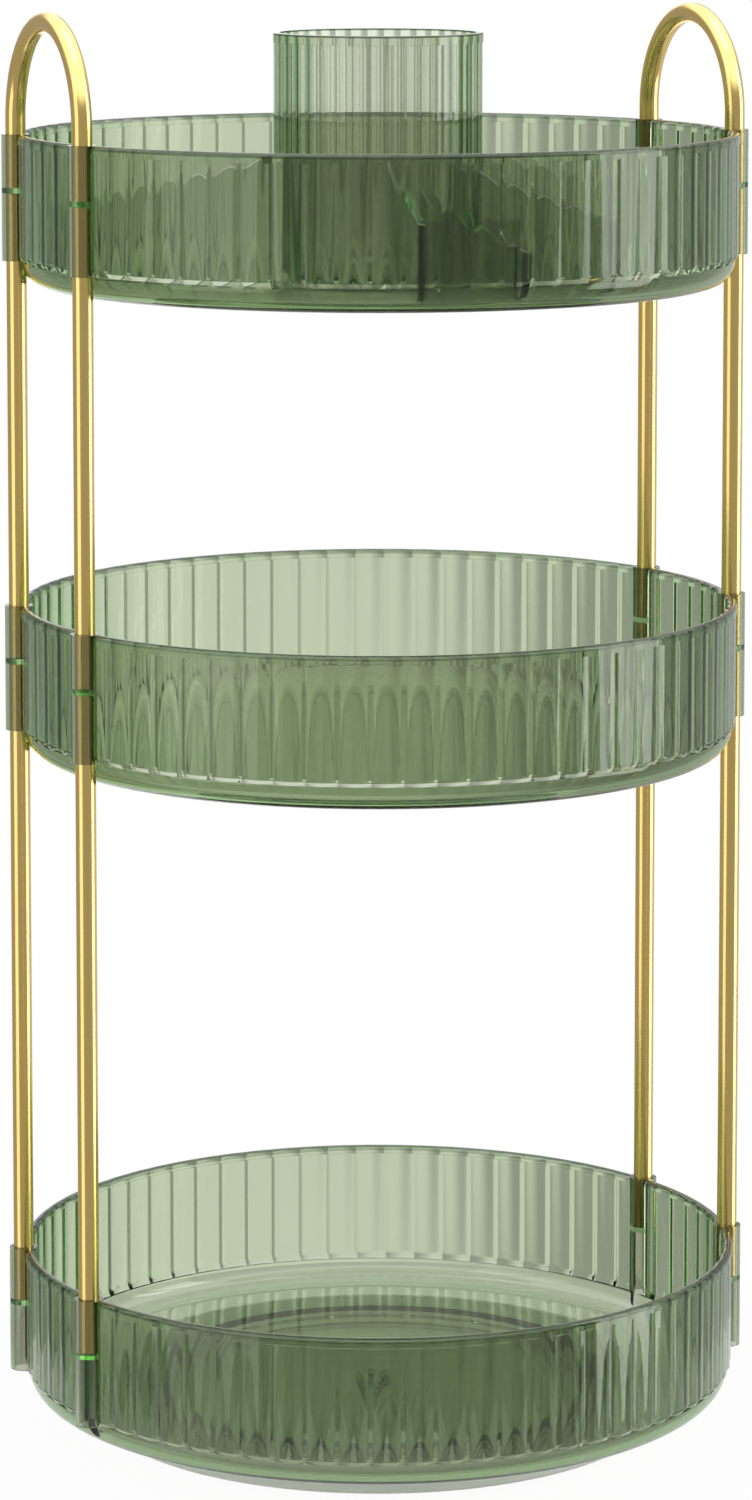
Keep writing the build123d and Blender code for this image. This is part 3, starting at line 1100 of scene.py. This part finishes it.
    def build(self, shop: Workshop, finishes: Finishes) -> None:
        """Build the insert as one moulding.

        Args:
            shop: The geometry node trees.
            finishes: The materials.
        """
        material = finishes.insert
        low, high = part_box(self.node)
        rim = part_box("top_tray")[1].z
        cup = self.cup_section(low.z, high.z).turn(shop, "clear_divider_insert", material, self.reeds)
        shop.finish_mesh(cup)
        tops = (rim - self.top_at_cup, rim - self.top_at_end)
        low_tops = (tops[0] - self.low_step, tops[1] - self.low_step)
        turns = [(turn, tops) for turn in (-self.rear, -self.narrow, self.narrow, self.rear)]
        turns.append((0.0, low_tops))
        plates = [self.plate(shop, material, self.front + turn, low.z, heights) for turn, heights in turns]
        plates.append(self.pocket_wall(shop, material, low.z, rim - self.pocket_top))
        shop.join(cup, plates)
        shop.finish_mesh(cup)
        fit_piece(cup, Body.INSERT, Slot.GREEN, self.node)


@dataclass
class Turntable:
    """White base with its bearing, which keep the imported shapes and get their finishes."""

    def dress(self, finishes: Finishes) -> None:
        """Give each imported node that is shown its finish.

        Args:
            finishes: The materials.
        """
        for entry in frame["record"]["subparts"]:
            node = frame["nodes"][entry["node"]]
            if node.hide_render:
                continue
            node.data.materials.clear()
            node.data.materials.append(finishes[Slot(entry["material_slot"])])
            log.info("%s: packed shape in %s", entry["node"], entry["material_slot"])


@dataclass(frozen=True)
class Lamp:
    """A soft lamp, placed along the camera's heading, to its right and above the floor."""

    name: str
    ahead: float
    aside: float
    height: float
    size: Point
    radiance: float

    def light(self, heading: Vector, sideways: Vector, target: Vector) -> None:
        """Add the lamp to the scene.

        Args:
            heading: The camera's level heading.
            sideways: The direction to the heading's right.
            target: The point that the lamp faces.
        """
        data = bpy.data.lights.new(self.name, "AREA")
        data.shape = "RECTANGLE"
        data.size, data.size_y = self.size
        data.energy = self.radiance * math.pi * self.size[0] * self.size[1]
        lamp = Workshop.link(data, self.name)
        lamp.location = heading * self.ahead + sideways * self.aside + Vector((0, 0, self.height))
        lamp.rotation_euler = (target - lamp.location).to_track_quat("-Z", "Y").to_euler()


@dataclass
class Studio:
    """Pale floor, soft lamps and the camera at the photograph's angle."""

    eye: Vector = field(default_factory=lambda: Vector((-0.6175, -1.4864, 0.5113)))
    heading: Vector = field(default_factory=lambda: Vector((0.3837, 0.9235, 0.0)))
    pitch: float = math.radians(-5.938)
    focal_share: float = 5068.9 / 1500
    sensor: float = 36.0
    shift: Point = (-0.00145, -0.2619)
    near_clip: float = 0.01
    lamps: tuple[Lamp, ...] = (
        Lamp("left_softbox", ahead=-1.18, aside=-1.62, height=0.5, size=(1.3, 2.4), radiance=1.0),
        Lamp("right_softbox", ahead=-0.2, aside=2.0, height=0.5, size=(0.95, 2.4), radiance=3.3),
        Lamp("top_softbox", ahead=0.0, aside=0.0, height=2.3, size=(1.6, 1.6), radiance=1.2))
    lamp_target: float = 0.23
    floor_radius: float = 0.17
    floor_sides: int = 96
    floor_colour: float = 0.9
    floor_white: float = 0.95
    floor_mirrored: float = 0.7
    ambient: float = 0.55
    dark_sides: float = 0.37
    right_side: float = 0.62
    backdrop: float = 1.3
    behind_span: Point = (0.0, 0.3)
    left_span: Point = (-0.5, -0.12)
    right_span: Point = (-0.015, 0.085)
    pale_sides: float = 0.66
    strip_swing: float = 0.34
    strip_pace: float = 16.0
    strip_span: Point = (-0.4, -0.1)
    ceiling: float = 1.7
    ceiling_gain: float = 1.0
    ceiling_span: Point = (0.25, 0.6)
    light_steps: int = 40
    glossy_steps: int = 20

    @property
    def sideways(self) -> Vector:
        """Direction to the right of the camera's heading."""
        return Vector((self.heading.y, -self.heading.x, 0))

    def build(self) -> None:
        """Build the camera, world, floor and lamps."""
        self.build_camera()
        self.build_world()
        self.build_floor()
        for lamp in self.lamps:
            lamp.light(self.heading, self.sideways, Vector((0, 0, self.lamp_target)))
        cycles = bpy.context.scene.cycles
        cycles.max_bounces = self.light_steps
        cycles.transmission_bounces = self.light_steps
        cycles.glossy_bounces = self.glossy_steps
        bpy.context.scene.view_settings.view_transform = "Standard"

    def build_camera(self) -> None:
        """Set the camera where the photograph was taken from."""
        data = bpy.data.cameras.new("photo_camera")
        data.sensor_width = self.sensor
        data.lens = self.focal_share * self.sensor
        data.shift_x, data.shift_y = self.shift
        data.clip_start = self.near_clip
        camera = Workshop.link(data, "photo_camera")
        look = self.heading.normalized() * math.cos(self.pitch) + Vector((0, 0, math.sin(self.pitch)))
        camera.location = self.eye
        camera.rotation_euler = look.to_track_quat("-Z", "Y").to_euler()
        bpy.context.scene.camera = camera

    def build_world(self) -> None:
        """White background, with studio sides and a bright ceiling that metal and clear plastic show."""
        world = bpy.data.worlds.new("studio")
        bpy.context.scene.world = world
        world.use_nodes = True
        sketch = Sketch(world.node_tree)
        ray = sketch.add("ShaderNodeLightPath").outputs
        through = ray["Is Transmission Ray"]
        way = sketch.add("ShaderNodeTexCoord").outputs["Generated"]
        ahead = self.along(sketch, way, self.heading)
        aside = self.along(sketch, way, self.sideways)
        upward = self.along(sketch, way, Vector((0, 0, 1)))
        behind = self.ramp(sketch, ahead, self.behind_span, (self.dark_sides, self.backdrop))
        left = self.ramp(sketch, aside, self.left_span, (self.dark_sides, self.backdrop))
        right = self.ramp(sketch, aside, self.right_span, (self.backdrop, self.right_side))
        sides = sketch.math("MINIMUM", behind, sketch.math("MINIMUM", left, right))
        swing = self.ramp(sketch, ahead, self.strip_span, (self.strip_swing, 0.0))
        strips = sketch.math("SINE", sketch.math("MULTIPLY", aside, self.strip_pace))
        front = sketch.math("MULTIPLY_ADD", swing, strips, self.pale_sides)
        more = sketch.math("SUBTRACT", sketch.math("MAXIMUM", sides, front), sides)
        sides = sketch.math("MULTIPLY_ADD", more, through, sides)
        ceiling = self.ramp(sketch, upward, self.ceiling_span, (0.0, self.ceiling))
        gain = sketch.math("MULTIPLY_ADD", through, self.ceiling_gain, 1.0)
        level = sketch.math("MAXIMUM", sides, sketch.math("MULTIPLY", ceiling, gain))
        white = (1.0, 1.0, 1.0, 1.0)
        grey = (self.ambient, self.ambient, self.ambient, 1.0)
        shown = sketch.math("MAXIMUM", ray["Is Glossy Ray"], through)
        colour = sketch.blend(ray["Is Camera Ray"], sketch.blend(shown, grey, level), white)
        sketch.feed(world.node_tree.nodes["Background"].inputs["Color"], colour)

    @staticmethod
    def along(sketch: Sketch, way: bpy.types.NodeSocket, direction: Vector) -> bpy.types.NodeSocket:
        """How far a ray's way points along a direction.

        Args:
            sketch: Sketch of the world's tree.
            way: The ray's way.
            direction: The direction.

        Returns:
            The share's socket.
        """
        node = sketch.add("ShaderNodeVectorMath")
        node.operation = "DOT_PRODUCT"
        sketch.feed(node.inputs[0], way)
        sketch.feed(node.inputs[1], direction)
        return node.outputs["Value"]

    @staticmethod
    def ramp(sketch: Sketch, value: bpy.types.NodeSocket, span: Point, levels: Point) -> bpy.types.NodeSocket:
        """Soft step between two levels.

        Args:
            sketch: Sketch of the world's tree.
            value: The value that is followed.
            span: Where the step starts and ends.
            levels: The levels before and after it.

        Returns:
            The level's socket.
        """
        node = sketch.add("ShaderNodeMapRange", Value=value, From_Min=span[0], From_Max=span[1],
                          To_Min=levels[0], To_Max=levels[1])
        node.interpolation_type = "SMOOTHSTEP"
        return node.outputs[0]

    def build_floor(self) -> None:
        """Pale floor that looks white and keeps a soft shadow."""
        shape = bmesh.new()
        bmesh.ops.create_circle(shape, cap_ends=True, segments=self.floor_sides, radius=self.floor_radius)
        mesh = bpy.data.meshes.new("studio_floor")
        shape.to_mesh(mesh)
        shape.free()
        floor = Workshop.link(mesh, "studio_floor")
        material = bpy.data.materials.new("pale_floor")
        material.use_nodes = True
        nodes = material.node_tree.nodes
        nodes.remove(nodes["Principled BSDF"])
        sketch = Sketch(material.node_tree)
        ray = sketch.add("ShaderNodeLightPath").outputs
        shown = sketch.math("MAXIMUM", ray["Is Glossy Ray"], ray["Is Transmission Ray"])
        mirrored = sketch.math("MULTIPLY", shown, self.floor_mirrored)
        seen = sketch.math("MULTIPLY", ray["Is Camera Ray"], self.floor_white)
        share = sketch.math("MAXIMUM", seen, mirrored)
        grey = (self.floor_colour, self.floor_colour, self.floor_colour, 1.0)
        matt = sketch.add("ShaderNodeBsdfDiffuse", Color=grey)
        white = sketch.add("ShaderNodeEmission", Strength=1.0)
        mix = sketch.add("ShaderNodeMixShader")
        for socket, value in zip(mix.inputs, (share, matt.outputs[0], white.outputs[0])):
            sketch.feed(socket, value)
        sketch.feed(nodes["Material Output"].inputs["Surface"], mix.outputs[0])
        mesh.materials.append(material)


def main() -> None:
    """Build the organizer and its studio."""
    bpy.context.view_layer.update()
    shop = Workshop()
    finishes = Finishes()
    posts = TubeFrame()
    posts.build(shop, finishes)
    for node in ("bottom_tray", "middle_tray", "top_tray"):
        Tray(node, posts, pivot=node == "bottom_tray").build(shop, finishes)
    DividerInsert().build(shop, finishes)
    Turntable().dress(finishes)
    Studio().build()


if __name__ == "__main__":
    logging.basicConfig(level=logging.INFO)
    main()
